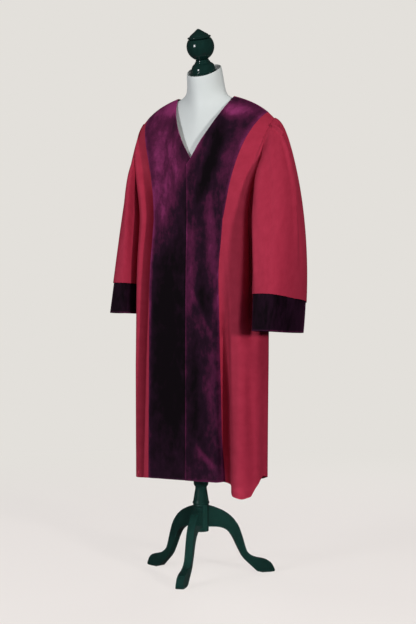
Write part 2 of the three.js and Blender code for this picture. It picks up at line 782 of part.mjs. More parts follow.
// Centred over the origin by its bounding box
const middle = new THREE.Box3().setFromObject(object, true).getCenter(vec(0, 0, 0));
object.position.set(-middle.x, -middle.y, 0);

export default object;
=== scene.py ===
import math

import bpy
import numpy as np
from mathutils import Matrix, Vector


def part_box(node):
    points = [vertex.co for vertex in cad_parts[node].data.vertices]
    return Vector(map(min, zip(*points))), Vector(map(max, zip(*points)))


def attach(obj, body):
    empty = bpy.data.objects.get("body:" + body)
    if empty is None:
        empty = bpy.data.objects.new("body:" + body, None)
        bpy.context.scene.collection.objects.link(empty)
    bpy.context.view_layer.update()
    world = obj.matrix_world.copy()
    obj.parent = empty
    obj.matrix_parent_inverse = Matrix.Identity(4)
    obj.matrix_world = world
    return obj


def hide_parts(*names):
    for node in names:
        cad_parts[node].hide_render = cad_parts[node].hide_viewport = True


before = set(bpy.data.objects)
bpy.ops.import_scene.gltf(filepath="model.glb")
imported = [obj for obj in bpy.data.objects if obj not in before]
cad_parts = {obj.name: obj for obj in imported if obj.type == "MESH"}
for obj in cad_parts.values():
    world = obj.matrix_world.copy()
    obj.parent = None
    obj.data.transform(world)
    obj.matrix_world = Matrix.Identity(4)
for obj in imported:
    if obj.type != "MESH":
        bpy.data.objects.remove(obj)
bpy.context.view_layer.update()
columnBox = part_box("column")
axisX = (columnBox[0].x + columnBox[1].x) / 2
axisY = (columnBox[0].y + columnBox[1].y) / 2
standAxis = np.array([axisX, axisY, 0])
mm = 0.001  # the tables below are in millimetres from the stand's axis


def fromHex(text):
    # sRGB hex to the linear colour that the shaders take
    channels = [int(text[i:i + 2], 16) / 255 for i in (1, 3, 5)]
    linear = [c / 12.92 if c <= 0.04045 else ((c + 0.055) / 1.055) ** 2.4 for c in channels]
    return (*linear, 1.0)


def addNode(tree, kind, settings=(), links=()):
    # a setting is one of the node's own properties, or else the value of an input
    node = tree.nodes.new(f"ShaderNode{kind}")
    for name, value in dict(settings).items():
        if isinstance(name, str) and hasattr(node, name):
            setattr(node, name, value)
        else:
            node.inputs[name].default_value = value
    for name, source in dict(links).items():
        tree.links.new(source, node.inputs[name])
    return node


def smooth(t):
    t = np.clip(t, 0, 1)
    return t * t * (3 - 2 * t)


def bell(t):
    return np.where(np.abs(t) < 1, np.cos(np.pi * np.clip(t, -1, 1) / 2) ** 2, 0.0)


def readTable(table, key, value, column):
    # straight between the values, then eased where two lines meet so that no line shows in the cloth
    keys = table[key]
    spread = 0.12 * (keys[-1] - keys[0]) / (len(keys) - 1)
    near = [np.interp(value + step * spread, keys, table[column]) for step in (-1.5, -0.5, 0.5, 1.5)]
    return sum(near) / 4


def xyz(x, y, z):
    return np.stack(np.broadcast_arrays(x, y, z), axis=-1).astype(float)


def bezier(points, t):
    level = [np.asarray(p, float) for p in points]
    t = np.asarray(t)[..., None]
    while len(level) > 1:
        level = [a + (b - a) * t for a, b in zip(level, level[1:])]
    return level[0]


def unit(v):
    return v / np.maximum(np.linalg.norm(v, axis=-1, keepdims=True), 1e-9)


def rounded(value, power):
    return np.sign(value) * np.abs(value) ** power


def inMetres(points):
    return ((points + standAxis / mm) * mm).tolist()


# the robe's cut. The quarter's width and depths are of the outline that its flat cloth is measured
# on. startPull and endPull bend the cloth between the chest and its upper edge. A drape starts over
# drapeFoot mm, and drapes and creases die away over the last drapeEnd and creaseEnd of the rise.
robe = {
    "wall": 2, "seamGap": 0.32, "hem": 303, "chest": 1110, "squareness": 3.1, "quarterWidth": 215,
    "frontDepth": 77, "backDepth": 97, "startPull": 0.36, "endPull": 0.3, "drapeFoot": 130,
    "drapeEnd": 0.3, "creaseEnd": 0.12,
}
# the wide velvet on each front edge, of which the left one laps over the right one: bend is how its
# seam curves above the chest, and the panel, the skirt and the yoke are its rough width and lengths
# for telling how near an edge a place is
velvetFacing = {
    "wall": 2.4, "overlap": 11, "underlap": 20, "lapLift": 3.3, "lapBlend": 45, "lapSlope": 520,
    "bend": {"left": 0.72, "right": 1.2}, "panel": 150, "skirt": 800, "yoke": 250,
}
# half the robe's width, and its depth in front and behind
outlines = {
    "height": [250, 700, 970, 1110],
    "halfWidth": [222, 224, 221, 210],
    "front": [79, 78, 76, 71],
    "back": [97, 97, 97, 96],
}
# points of the upper edge on the wearer's left, with the bows that bend it between them
edge = {
    "vPoint": (0, -66, 1297), "neckBow": (70, -71, 1408), "neckPoint": (100, 32, 1494),
    "backNeckBow": (80, 106, 1486), "backNeck": (0, 106, 1480), "shoulderBow": (190, 42, 1470),
    "shoulderTip": (234, 45, 1420), "frontArmholeBow": (228, -62, 1340),
    "backArmholeBow": (214, 108, 1290), "underarm": (205, 4, 1175),
}
# a share runs from 0 on the centre line to 1 at the side seam, and a place goes on to 2 at the
# centre back
share = {"neckPoint": 0.42, "velvetEnd": 0.655, "shoulderTip": 0.72}
sideNames = {1: "left", -1: "right"}  # the wearer's
# how far the cloth leans in, in degrees, where it meets its upper edge
leans = {
    "share": [0, 0.42, 0.58, 0.72, 0.86, 1],
    "front": [4, 56, 66, 56, 22, 0],
    "back": [34, 58, 64, 56, 22, 0],
}
# the velvet's width from the centre line, up to the chest
velvetWidths = {
    "height": [303, 430, 700, 960, 1110],
    "left": [111, 104, 101, 102, 122],
    "right": [146, 146, 145, 148, 150],
}
# the drapes: out is how far they stand proud at their fullest and lean moves them round on the way
# up to the chest; they fade out over the last stretch below the top, and in above a foot
drapes = [
    {"side": 1, "at": 0.47, "lean": -0.02, "width": 0.11, "out": -46, "top": 1000, "fade": 480},
    {"side": 1, "at": 0.66, "width": 0.17, "out": 25, "top": 1150, "fade": 847},
    {"side": 1, "at": 0.98, "width": 0.15, "out": -5, "top": 1100, "fade": 797},
    {"side": 1, "at": 0.66, "lean": 0.2, "width": 0.14, "out": -42, "foot": 690, "top": 1340, "fade": 260},
    {"side": 1, "at": 1.22, "width": 0.16, "out": -10, "top": 1000, "fade": 697},
    {"side": 1, "at": 1.44, "width": 0.14, "out": 12, "top": 1100, "fade": 797},
    {"side": 1, "at": 1.66, "width": 0.13, "out": -11, "top": 1150, "fade": 847},
    {"side": 1, "at": 1.88, "width": 0.12, "out": 9, "top": 1200, "fade": 897},
    {"side": -1, "at": 0.76, "lean": -0.1, "width": 0.115, "out": -52, "top": 1420, "fade": 360},
    {"side": -1, "at": 0.92, "width": 0.09, "out": -12, "foot": 640, "top": 1380, "fade": 260},
    {"side": -1, "at": 1.2, "width": 0.16, "out": 10, "top": 1100, "fade": 797},
    {"side": -1, "at": 1.46, "width": 0.14, "out": -12, "top": 1150, "fade": 847},
    {"side": -1, "at": 1.72, "width": 0.14, "out": 12, "top": 1100, "fade": 797},
]
# how far below the even hem the edge hangs
hemDrops = {
    "place": [0, 0.42, 0.52, 0.58, 0.69, 0.78, 0.84, 0.92, 1, 1.2, 1.45, 1.72, 1.88, 2],
    "left": [0, 0, 17, 37, 44, 38, 12, -9, -20, -8, 6, 2, 5, 2],
    "right": [0, 1, 2, 2, 4, 9, 9, 5, 2, 6, 0, 8, 3, 2],
}
# creases of the body, as place and height: depth below 0 is a trough, and width is half of it
bodyCreases = [
    {"side": 1, "path": [(0.57, 480), (0.56, 800), (0.5, 1050)], "width": 14, "depth": 3},
    {"side": 1, "path": [(0.8, 330), (0.77, 520), (0.76, 700)], "width": 16, "depth": -4},
    {"side": -1, "path": [(0.7, 330), (0.68, 600), (0.66, 900)], "width": 12, "depth": 3},
]


def outlineRadius(angle, halfWidth, depth):
    n = robe["squareness"]
    return (np.abs(np.sin(angle) / halfWidth) ** n + np.abs(np.cos(angle) / depth) ** n) ** (-1 / n)


def evenQuarter(depth):
    # the angles that cut a quarter of the outline into even lengths of cloth
    angles = np.linspace(0, np.pi / 2, 91)
    radius = outlineRadius(angles, robe["quarterWidth"], depth)
    line = np.stack([radius * np.sin(angles), radius * np.cos(angles)], axis=-1)
    lengths = np.concatenate([[0], np.cumsum(np.linalg.norm(np.diff(line, axis=0), axis=1))])
    return {"total": lengths[-1], "shares": lengths / lengths[-1], "angles": angles}


frontQuarter, backQuarter = evenQuarter(robe["frontDepth"]), evenQuarter(robe["backDepth"])


def standOut(side, place, height):
    # how far the drapes hold the cloth out at a place
    total = np.zeros(np.broadcast(side, place, height).shape)
    wayUp = np.clip((height - robe["hem"]) / (robe["chest"] - robe["hem"]), 0, 1)
    for row in drapes:
        fade = smooth((row["top"] - height) / row["fade"])
        if "foot" in row:
            fade = fade * smooth((height - row["foot"]) / robe["drapeFoot"])
        at = row["at"] + row.get("lean", 0) * wayUp
        out = row["out"] * fade * bell((place - at) / row["width"])
        total = total + np.where(side == row["side"], out, 0)
    return total


def hemHeight(side, place):
    # each side has its own hem
    left = np.interp(place, hemDrops["place"], hemDrops["left"])
    right = np.interp(place, hemDrops["place"], hemDrops["right"])
    return robe["hem"] - np.where(side > 0, left, right)


def bodyOutline(side, place, height):
    # a point of the plain outline, and the level direction that a drape stands out in
    isFront = place < 1
    part = np.where(isFront, place, 2 - place)
    angle = np.where(
        isFront,
        np.interp(part, frontQuarter["shares"], frontQuarter["angles"]),
        np.interp(part, backQuarter["shares"], backQuarter["angles"]),
    )
    halfWidth = readTable(outlines, "height", height, "halfWidth")
    frontDepth = readTable(outlines, "height", height, "front")
    depth = np.where(isFront, frontDepth, readTable(outlines, "height", height, "back"))
    radius = outlineRadius(angle, halfWidth, depth)
    x, y = radius * np.sin(angle), radius * np.cos(angle)
    power = robe["squareness"] - 1
    facing = np.where(isFront, -1.0, 1.0)
    levelX = side * np.abs(x / halfWidth) ** power / halfWidth
    levelY = facing * np.abs(y / depth) ** power / depth
    return xyz(side * x, facing * y, height), unit(xyz(levelX, levelY, 0))


def upperEdge(side, place):
    # the neckline, the shoulder seam and the armhole, one after the other
    isFront = place <= 1
    part = np.where(isFront, place, 2 - place)

    def pick(front, back, t):
        return np.where(isFront[..., None], bezier(front, t), bezier(back, t))

    neck = pick(
        [edge["vPoint"], edge["neckBow"], edge["neckPoint"]],
        [edge["backNeck"], edge["backNeckBow"], edge["neckPoint"]],
        part / share["neckPoint"],
    )
    t = (part - share["neckPoint"]) / (share["shoulderTip"] - share["neckPoint"])
    shoulder = bezier([edge["neckPoint"], edge["shoulderBow"], edge["shoulderTip"]], t)
    armhole = pick(
        [edge["shoulderTip"], edge["frontArmholeBow"], edge["underarm"]],
        [edge["shoulderTip"], edge["backArmholeBow"], edge["underarm"]],
        (part - share["shoulderTip"]) / (1 - share["shoulderTip"]),
    )
    point = np.where((part <= share["neckPoint"])[..., None], neck, shoulder)
    point = np.where((part > share["shoulderTip"])[..., None], armhole, point)
    return point * xyz(side, 1, 1)


def bodyPoint(side, place, rise):
    # rise is 0 at the hem, 1 at the chest and 2 at the upper edge; a place below 0 is past the
    # centre front, on the other side's surface and cut under its neckline
    side, place, rise = (np.array(a, float) for a in np.broadcast_arrays(side, place, rise))
    past = place < 0
    neckline = edge["vPoint"][2] + velvetFacing["lapSlope"] * place - robe["chest"]
    cut = neckline / (upperEdge(-side, np.abs(place))[..., 2] - robe["chest"])
    rise = np.where(past & (rise > 1), 1 + (rise - 1) * cut, rise)
    side = np.where(past, -side, side)
    place = np.abs(place)
    hem = hemHeight(side, place)
    low, level = bodyOutline(side, place, hem + (robe["chest"] - hem) * np.minimum(rise, 1))
    start, chestLevel = bodyOutline(side, place, np.full(place.shape, float(robe["chest"])))
    end = upperEdge(side, place)
    isFront = place <= 1
    part = np.where(isFront, place, 2 - place)
    frontLean = readTable(leans, "share", part, "front")
    lean = np.radians(np.where(isFront, frontLean, readTable(leans, "share", part, "back")))
    length = np.linalg.norm(end - start, axis=-1)
    first = start + xyz(0, 0, length * robe["startPull"])
    arrival = xyz(0, np.where(isFront, 1, -1) * np.sin(lean), np.cos(lean))
    second = end - arrival * (length * robe["endPull"])[..., None]
    high = bezier([start, first, second, end], np.clip(rise - 1, 0, 1))
    isLow = (rise <= 1)[..., None]
    point = np.where(isLow, low, high)
    out = standOut(side, place, point[..., 2]) * smooth((2 - rise) / robe["drapeEnd"])
    return point + np.where(isLow, level, chestLevel) * out[..., None]


def bodyNormal(side, place, rise):
    stepPlace, stepRise = 0.006, 0.01
    low = bodyPoint(side, place - stepPlace, rise)
    high = bodyPoint(side, place + stepPlace, rise)
    down = bodyPoint(side, place, np.clip(rise - stepRise, 0, 2))
    up = bodyPoint(side, place, np.clip(rise + stepRise, 0, 2))
    across, along = high - low, up - down
    return unit(np.cross(across, along) * np.broadcast_to(side, place.shape)[..., None])


def alongPath(path, u, v):
    # distance from a line drawn on the flat cloth, in millimetres, and the share of the way along it
    best = np.full(u.shape, 1e9)
    where = np.zeros(u.shape)
    points = np.array(path, float)
    lengths = np.concatenate([[0], np.cumsum(np.linalg.norm(np.diff(points, axis=0), axis=1))])
    for i in range(len(points) - 1):
        a, b = points[i], points[i + 1]
        d = b - a
        t = np.clip(((u - a[0]) * d[0] + (v - a[1]) * d[1]) / (d @ d), 0, 1)
        away = np.hypot(u - a[0] - t * d[0], v - a[1] - t * d[1])
        nearer = away < best
        best = np.where(nearer, away, best)
        where = np.where(nearer, (lengths[i] + t * (lengths[i + 1] - lengths[i])) / lengths[-1], where)
    return best, where


def creaseDepth(crease, path, u, v):
    # a crease dies away towards both ends, unless it is a tuck
    away, where = alongPath(path, u, v)
    taper = np.sin(np.pi * np.clip(where, 0.02, 0.98)) ** 0.7 if crease.get("taper", True) else 1.0
    return crease["depth"] * taper * bell(away / crease["width"])


def bodyAcross(place):
    # millimetres round the flat cloth from the centre front
    return frontQuarter["total"] * np.minimum(place, 1) + backQuarter["total"] * np.maximum(place - 1, 0)


def bodyCrease(side, place, height):
    past = place < 0
    side, place = np.where(past, -side, side), np.abs(place)
    total = np.zeros(place.shape)
    for row in bodyCreases:
        path = [(bodyAcross(at), z) for at, z in row["path"]]
        shape = creaseDepth(row, path, bodyAcross(place), height)
        total = total + np.where(side == row["side"], shape, 0)
    return total


# a pleat is at so many degrees round the sleeve, 0 outside, 90 in front and 270 behind, and stands out
# from one share of its length to another; a crease's path is degrees round and share of the length
sleeves = {
    "left": {
        "side": 1, "endX": 285, "endY": -34, "endZ": 766, "halfAcross": 54, "halfAlong": 123,
        "frontRise": 8, "cuffHeight": 115, "cuffFrontExtra": 10, "headReach": 56, "headDrop": 16,
        "belly": 42,
        "pleats": [
            {"at": 108, "width": 34, "out": 30, "from": 0.05, "to": 1.15},
            {"at": 74, "width": 36, "out": 9, "from": 0.05, "to": 0.5},
            {"at": 332, "width": 20, "out": -11, "from": 0.08, "to": 0.45},
            {"at": 306, "width": 22, "out": 8, "from": 0.06, "to": 0.6},
        ],
        "creases": [
            {"path": [(26, 0.06), (21, 0.13), (16, 0.2)], "width": 9, "depth": -14, "taper": False},
            {"path": [(17, 0.19), (14, 0.3), (12, 0.42)], "width": 16, "depth": -6},
            {"path": [(12, 0.32), (8, 0.5), (5, 0.76)], "width": 20, "depth": -6},
            {"path": [(6, 0.58), (2, 0.68), (-2, 0.8)], "width": 9, "depth": 3.5},
            {"path": [(120, 0.35), (112, 0.6), (108, 0.85)], "width": 18, "depth": -5},
        ],
    },
    "right": {
        "side": -1, "endX": 282, "endY": 62, "endZ": 809, "halfAcross": 49, "halfAlong": 114,
        "frontRise": 6, "cuffHeight": 108, "cuffFrontExtra": 2, "headReach": 12, "headDrop": 88,
        "belly": -52,
        "pleats": [
            {"at": 102, "width": 30, "out": 26, "from": 0.05, "to": 0.9},
            {"at": 330, "width": 22, "out": -9, "from": 0.08, "to": 0.5},
        ],
        "creases": [
            {"path": [(4, 0.02), (-8, 0.12), (-20, 0.3)], "width": 12, "depth": -5},
        ],
    },
}
# both sleeves: their weave and creases are measured on a flat cloth of round by long, and the pulls
# and reaches bend it between the armhole and the mouth
sleeveShape = {
    "squareness": 2.6, "round": 640, "long": 620, "armholeGap": 0.6, "underarmReach": 10,
    "underarmDrop": 70, "frontReach": 28, "mouthPull": 0.52, "mouthReach": 6, "creaseStart": 0.04,
}


def sleevePoint(sleeve, turnPart, t):
    # turnPart goes once round the sleeve, and t from the armhole at 0 to the mouth at 1
    turnPart, t = (np.array(a, float) for a in np.broadcast_arrays(turnPart, t))
    side = sleeve["side"]
    tip = share["shoulderTip"]
    place = np.where(turnPart <= 0.5, tip + (1 - tip) * turnPart * 2, 1 + (1 - tip) * (turnPart * 2 - 1))
    start = upperEdge(side, place)
    angle = turnPart * 2 * np.pi
    power = 2 / sleeveShape["squareness"]
    forward, outside = np.sin(angle), (1 + np.cos(angle)) / 2
    end = xyz(
        side * (sleeve["endX"] + sleeve["halfAcross"] * rounded(np.cos(angle), power)),
        sleeve["endY"] - sleeve["halfAlong"] * rounded(forward, power),
        sleeve["endZ"] + sleeve["frontRise"] * forward,
    )
    reach = sleeveShape["underarmReach"] + sleeve["headReach"] * outside
    drop = sleeveShape["underarmDrop"] + (sleeve["headDrop"] - sleeveShape["underarmDrop"]) * outside
    first = start + xyz(side * reach, -sleeveShape["frontReach"] * forward, -drop)
    pull = (start[..., 2] - end[..., 2]) * sleeveShape["mouthPull"]
    second = end + xyz(side * sleeve["belly"] * outside, sleeveShape["mouthReach"] * forward, pull)
    out = np.zeros(turnPart.shape)
    for row in sleeve["pleats"]:
        away = (turnPart * 360 - row["at"] + 540) % 360 - 180
        along = np.clip((t - row["from"]) / (row["to"] - row["from"]), 0, 1)
        out = out + row["out"] * bell(away / row["width"]) * np.sin(np.pi * np.sqrt(along)) ** 2
    return bezier([start, first, second, end], t) + xyz(side * np.cos(angle) * out, -forward * out, 0)


def placeAbove(sleeve, turnPart, height):
    # the share of the sleeve's length that lies this far above its mouth
    target = sleevePoint(sleeve, turnPart, np.ones_like(turnPart))[..., 2] + height
    low, high = np.zeros_like(turnPart), np.ones_like(turnPart)
    for _ in range(24):  # each step halves the stretch that it can be in
        middle = (low + high) / 2
        above = sleevePoint(sleeve, turnPart, middle)[..., 2] > target
        low, high = np.where(above, middle, low), np.where(above, high, middle)
    return (low + high) / 2


def sleeveCrease(sleeve, turnPart, t):
    total = np.zeros(np.broadcast(turnPart, t).shape)
    around, long = sleeveShape["round"], sleeveShape["long"]
    for row in sleeve["creases"]:
        path = [(degrees / 360 * around, down * long) for degrees, down in row["path"]]
        middle = sum(p[0] for p in path) / len(path)
        u = (turnPart * around - middle + around / 2) % around + middle - around / 2
        total = total + creaseDepth(row, path, u, t * long)
    return total


def sleeveSurface(sleeve, turnPart, t):
    # the creased sleeve and which way it faces
    step = 0.004
    across = sleevePoint(sleeve, (turnPart + step) % 1, t) - sleevePoint(sleeve, (turnPart - step) % 1, t)
    above, below = np.clip(t - step, 0, 1), np.clip(t + step, 0, 1)
    along = sleevePoint(sleeve, turnPart, below) - sleevePoint(sleeve, turnPart, above)
    normal = unit(np.cross(along, across) * sleeve["side"])
    crease = sleeveCrease(sleeve, turnPart, t) * smooth(t / sleeveShape["creaseStart"])
    return sleevePoint(sleeve, turnPart, t) + normal * crease[..., None], normal


def outward(mesh):
    # turns every face if the closed mesh came out inside out
    coords = np.zeros(len(mesh.vertices) * 3)
    mesh.vertices.foreach_get("co", coords)
    coords = coords.reshape(-1, 3)
    mesh.calc_loop_triangles()
    corners = np.zeros(len(mesh.loop_triangles) * 3, int)
    mesh.loop_triangles.foreach_get("vertices", corners)
    a, b, c = (coords[corners[i::3]] for i in range(3))
    volume = np.einsum("ij,ij->i", a, np.cross(b, c)).sum()
    if volume < 0:
        mesh.flip_normals()


def addPiece(mesh):
    piece = bpy.data.objects.new(mesh.name, mesh)
    bpy.context.scene.collection.objects.link(piece)
    outward(mesh)
    mesh.shade_smooth()
    return piece


def roundEdges(piece, name, width, segments, degrees):
    piece.data.set_sharp_from_angle(angle=math.radians(degrees))
    bevel = piece.modifiers.new(name, "BEVEL")
    bevel.width = width * mm
    bevel.segments = segments
    bevel.limit_method = "ANGLE"
    bevel.angle_limit = math.radians(degrees)


def clothShell(name, outer, normal, wall, threads, wraps=False, edgeRound=0.6, napAndSheen=None):
    # a closed wall of cloth behind the outer grid of points; threads gives each point's place in
    # the flat cloth, so that the weave lies along it
    rows, cols = outer.shape[:2]
    inner = outer - normal * wall
    points = np.concatenate([outer.reshape(-1, 3), inner.reshape(-1, 3)])
    index = np.arange(rows * cols).reshape(rows, cols)
    nextCol = np.roll(index, -1, axis=1) if wraps else index[:, 1:]
    thisCol = index if wraps else index[:, :-1]
    a, b = thisCol[:-1].ravel(), nextCol[:-1].ravel()
    c, d = nextCol[1:].ravel(), thisCol[1:].ravel()
    half = rows * cols
    faces = [np.stack([a, b, c, d], axis=1), half + np.stack([a, d, c, b], axis=1)]
    edges = [(nextCol[0], thisCol[0]), (thisCol[-1], nextCol[-1])]
    if not wraps:
        edges += [(index[:-1, 0], index[1:, 0]), (index[1:, -1], index[:-1, -1])]
    for p, q in edges:
        faces.append(np.stack([p, q, half + q, half + p], axis=1))
    mesh = bpy.data.meshes.new(f"robe_{name}")
    mesh.from_pydata(inMetres(points), [], np.concatenate(faces).tolist())
    place = mesh.attributes.new("threads", "FLOAT_VECTOR", "POINT")
    flat = np.concatenate([threads.reshape(-1, 2)] * 2)
    flat = np.column_stack([flat, np.zeros(len(flat))])
    place.data.foreach_set("vector", flat.astype(np.float32).ravel())
    # the velvet's pile tone, with its painted sheen and painted shade, is kept on each point
    if napAndSheen is not None:
        napSheenLayer = mesh.attributes.new("napAndSheen", "FLOAT", "POINT")
        napSheenLayer.data.foreach_set("value", np.concatenate([napAndSheen.ravel()] * 2).astype(np.float32))
    piece = addPiece(mesh)
    roundEdges(piece, "turned edges", edgeRound, 2, 60)
    return piece


# how finely each stretch is made: up the body, across its upper edges, round and down a sleeve, round
# the form and a turned piece, and through a leg's thickness
grid = {
    "lower": 176, "upper": 74, "neck": 22, "shoulder": 13, "armhole": 34, "round": 240,
    "sleeve": 120, "cuff": 56, "form": 32, "turned": 96, "leg": 9,
}
rises = np.concatenate([np.linspace(0, 1, grid["lower"] + 1), np.linspace(1, 2, grid["upper"] + 1)[1:]])


def velvetShare(side, rise):
    # the place of the seam between the velvet and the front
    height = robe["hem"] + (robe["chest"] - robe["hem"]) * np.minimum(rise, 1)
    low = readTable(velvetWidths, "height", height, sideNames[side]) / frontQuarter["total"]
    up = np.maximum(rise - 1, 0) ** velvetFacing["bend"][sideNames[side]]
    return low + (share["velvetEnd"] - low) * up


def bodySheet(name, side, place, wall, lift=None, napAndSheen=None):
    # a row of places for each rise; lift holds the cloth off the body, and napAndSheen is the velvet's pile
    # tone with its painted sheen and painted shade
    side, place, rise = (np.array(a, float) for a in np.broadcast_arrays(side, place, rises[:, None]))
    point = bodyPoint(side, place, rise)
    normal = bodyNormal(side, place, rise)
    height = point[..., 2]
    out = bodyCrease(side, place, height) * smooth((2 - rise) / robe["creaseEnd"])
    if lift is not None:
        out = out + lift(point)
    # along the shoulder seam and the armhole the walls of front and back meet in a mitre
    top = (np.abs(place[-1]) > share["neckPoint"]) & (np.abs(place[-1]) < 2 - share["neckPoint"])
    partner = bodyNormal(side[-1:], 2 - place[-1:], rise[-1:])
    mitre = unit(normal[-1:] + partner)
    isBlunt = np.einsum("...i,...i->...", mitre, normal[-1:]) > 0.75
    normal[-1:] = np.where((top[None, :] & isBlunt)[..., None], mitre, normal[-1:])
    outer = point + normal * out[..., None]
    # each edge is drawn in by half of a seam's gap
    draw = robe["seamGap"] / 2
    outer[-1] += unit(outer[-2] - outer[-1]) * draw
    outer[:, 0] += unit(outer[:, 1] - outer[:, 0]) * draw
    outer[:, -1] += unit(outer[:, -2] - outer[:, -1]) * draw
    threads = np.stack([bodyAcross(np.abs(place)) * np.sign(place + 1e-9) * side, height], axis=-1)
    return clothShell(name, outer, normal, wall, threads, napAndSheen=None if napAndSheen is None else napAndSheen(height))


# strokes of painted sheen and painted shade on the velvet's pile: a tone above 0 paints it plum, and one
# below 0 paints it nearly black. A path's points are the share across, from 0 at the opening to 1 at the
# seam, and the height, and the width is half of a stroke's.
paintedSheenStrokes = {
    "left": [
        {"path": [(0.1, 1478), (0.55, 1460), (1.0, 1428)], "width": 40, "tone": 1.25},
        {
            "path": [(0.66, 1445), (0.62, 1375), (0.59, 1315), (0.45, 1230), (0.32, 1140)],
            "width": 38, "tone": -0.95,
        },
        {"path": [(0.9, 1400), (0.92, 1300), (0.9, 1200)], "width": 34, "tone": 0.4},
        {"path": [(0.34, 1450), (0.2, 1380), (0.13, 1318), (0.04, 1270)], "width": 24, "tone": 0.8},
        {"path": [(0.42, 1230), (0.62, 1130), (0.74, 1040), (0.72, 930)], "width": 44, "tone": 0.5},
        {"path": [(0.12, 1120), (0.14, 960), (0.14, 780)], "width": 34, "tone": 0.5},
        {"path": [(0.45, 930), (0.55, 860), (0.66, 790)], "width": 48, "tone": -0.55},
        {"path": [(0.92, 1000), (0.92, 800)], "width": 24, "tone": 0.45},
        {"path": [(0.15, 900), (0.45, 830), (0.8, 740)], "width": 17, "tone": 0.45},
        {"path": [(0.8, 740), (0.78, 620), (0.76, 470)], "width": 40, "tone": 0.35},
        {"path": [(0.25, 745), (0.28, 560), (0.25, 380)], "width": 46, "tone": -0.6},
        {"path": [(0.25, 430), (0.45, 391), (0.77, 351), (1.0, 345)], "width": 18, "tone": 0.55},
    ],
    "right": [
        {"path": [(0.0, 1490), (0.5, 1478), (1.0, 1440)], "width": 56, "tone": 1.1},
        {"path": [(0.8, 1490), (0.7, 1330), (0.78, 1180), (0.9, 1000)], "width": 92, "tone": 0.75},
        {"path": [(0.3, 1370), (0.3, 1280), (0.4, 1180)], "width": 60, "tone": 0.35},
        {"path": [(0.96, 1300), (0.97, 1000), (0.97, 600)], "width": 12, "tone": 0.75},
        {
            "path": [(0.2, 1120), (0.5, 960), (0.6, 800), (0.5, 600), (0.5, 300)],
            "width": 110, "tone": -0.85,
        },
    ],
}


# the painted sheen and painted shade that the strokes lay on a place of the velvet
def brushedSheen(side, part, height):
    total = np.zeros(height.shape)
    panel = velvetFacing["panel"]
    for row in paintedSheenStrokes[sideNames[side]]:
        path = [(across * panel, z) for across, z in row["path"]]
        away, where = alongPath(path, part * panel, height)
        # over the third of its length at each end a stroke fades to a quarter
        ends = smooth(np.minimum(where, 1 - where) * 3)
        total = total + row["tone"] * bell(away / row["width"]) * (0.25 + 0.75 * ends)
    return total


def paintedEdgeSheen(away):
    # a painted sheen along a turned edge: the pile is painted brighter in a line 1.5 mm in from it
    return 0.75 * smooth(1 - np.abs(away - 1.5) / 4.5)


def velvetPiece(side):
    inner = -velvetFacing["overlap" if side > 0 else "underlap"] / frontQuarter["total"]
    part = np.linspace(0, 1, grid["neck"] + grid["shoulder"] + 1)
    place = inner + (velvetShare(side, rises)[:, None] - inner) * part[None, :]

    def lift(point):
        away = point[..., 0] - velvetFacing["underlap"]
        return velvetFacing["lapLift"] * smooth(1 - away / velvetFacing["lapBlend"])

    # painted sheen and painted shade from the strokes, with a painted sheen along the panel's edges
    def napAndSheen(height):
        across, rise = np.broadcast_arrays(part, rises[:, None])
        fromSides = np.minimum(across, 1 - across) * velvetFacing["panel"]
        fromEnds = np.minimum(rise * velvetFacing["skirt"], (2 - rise) * velvetFacing["yoke"])
        return brushedSheen(side, across, height) + paintedEdgeSheen(np.minimum(fromSides, fromEnds))

    name = f"velvet_{sideNames[side]}"
    return bodySheet(name, side, place, velvetFacing["wall"], lift if side > 0 else None, napAndSheen)


def frontPiece(side):
    tip = (share["shoulderTip"] - share["velvetEnd"]) / (1 - share["velvetEnd"])
    part = np.concatenate([[0], np.linspace(tip, 1, grid["armhole"])])
    low = velvetShare(side, rises)[:, None]
    even = np.linspace(0, 1, len(part))
    blend = smooth(rises - 1)[:, None]
    part = even[None, :] + (part - even)[None, :] * blend
    return bodySheet(f"front_{sideNames[side]}", side, low + (1 - low) * part, robe["wall"])


def backPiece():
    tops = np.concatenate([
        np.linspace(1, share["shoulderTip"], grid["armhole"]),
        np.linspace(share["velvetEnd"], share["neckPoint"], grid["shoulder"] + 1),
        np.linspace(share["neckPoint"], 0, grid["neck"])[1:],
    ])
    top = 2 - tops
    even = np.linspace(1, 2, len(top))
    place = even[None, :] + (top - even)[None, :] * smooth(rises - 1)[:, None]
    place = np.concatenate([place, place[:, -2::-1]], axis=1)
    side = np.ones(place.shape)
    side[:, len(top):] = -1
    return bodySheet("back", side, place, robe["wall"])


# the facing runs up to the neckline from its foot's rise
neckFacing = {"wall": 1.2, "gap": 0.4, "foot": 1.93, "lines": 8, "edgeRound": 0.3}


def neckFacingPiece():
    parts = 2 - np.linspace(share["neckPoint"], 0, grid["neck"])
    place = np.concatenate([parts, parts[-2::-1]])
    side = np.where(np.arange(len(place)) < len(parts), 1.0, -1.0)
    place, rise = np.meshgrid(place, np.linspace(neckFacing["foot"], 2, neckFacing["lines"]))
    side = np.broadcast_to(side, place.shape)
    normal = bodyNormal(side, place, rise)
    outer = bodyPoint(side, place, rise) - normal * (robe["wall"] + neckFacing["gap"])
    threads = np.stack([bodyAcross(place) * side, outer[..., 2]], axis=-1)
    edgeRound = neckFacing["edgeRound"]
    return clothShell("neck_facing", outer, normal, neckFacing["wall"], threads, edgeRound=edgeRound)


# the sleeve runs the tuck's length up under its cuff, whose pile is brushed in faint slanted waves
cuff = {
    "wall": 2.4, "lift": 3.1, "tuck": 14, "edgeRound": 0.9, "quiet": 0.4, "waveTone": 0.12,
    "waves": 31, "slant": 4,
}
turns = np.arange(grid["round"]) / grid["round"]


def cuffTop(sleeve):
    return sleeve["cuffHeight"] + sleeve["cuffFrontExtra"] * np.sin(turns * 2 * np.pi)


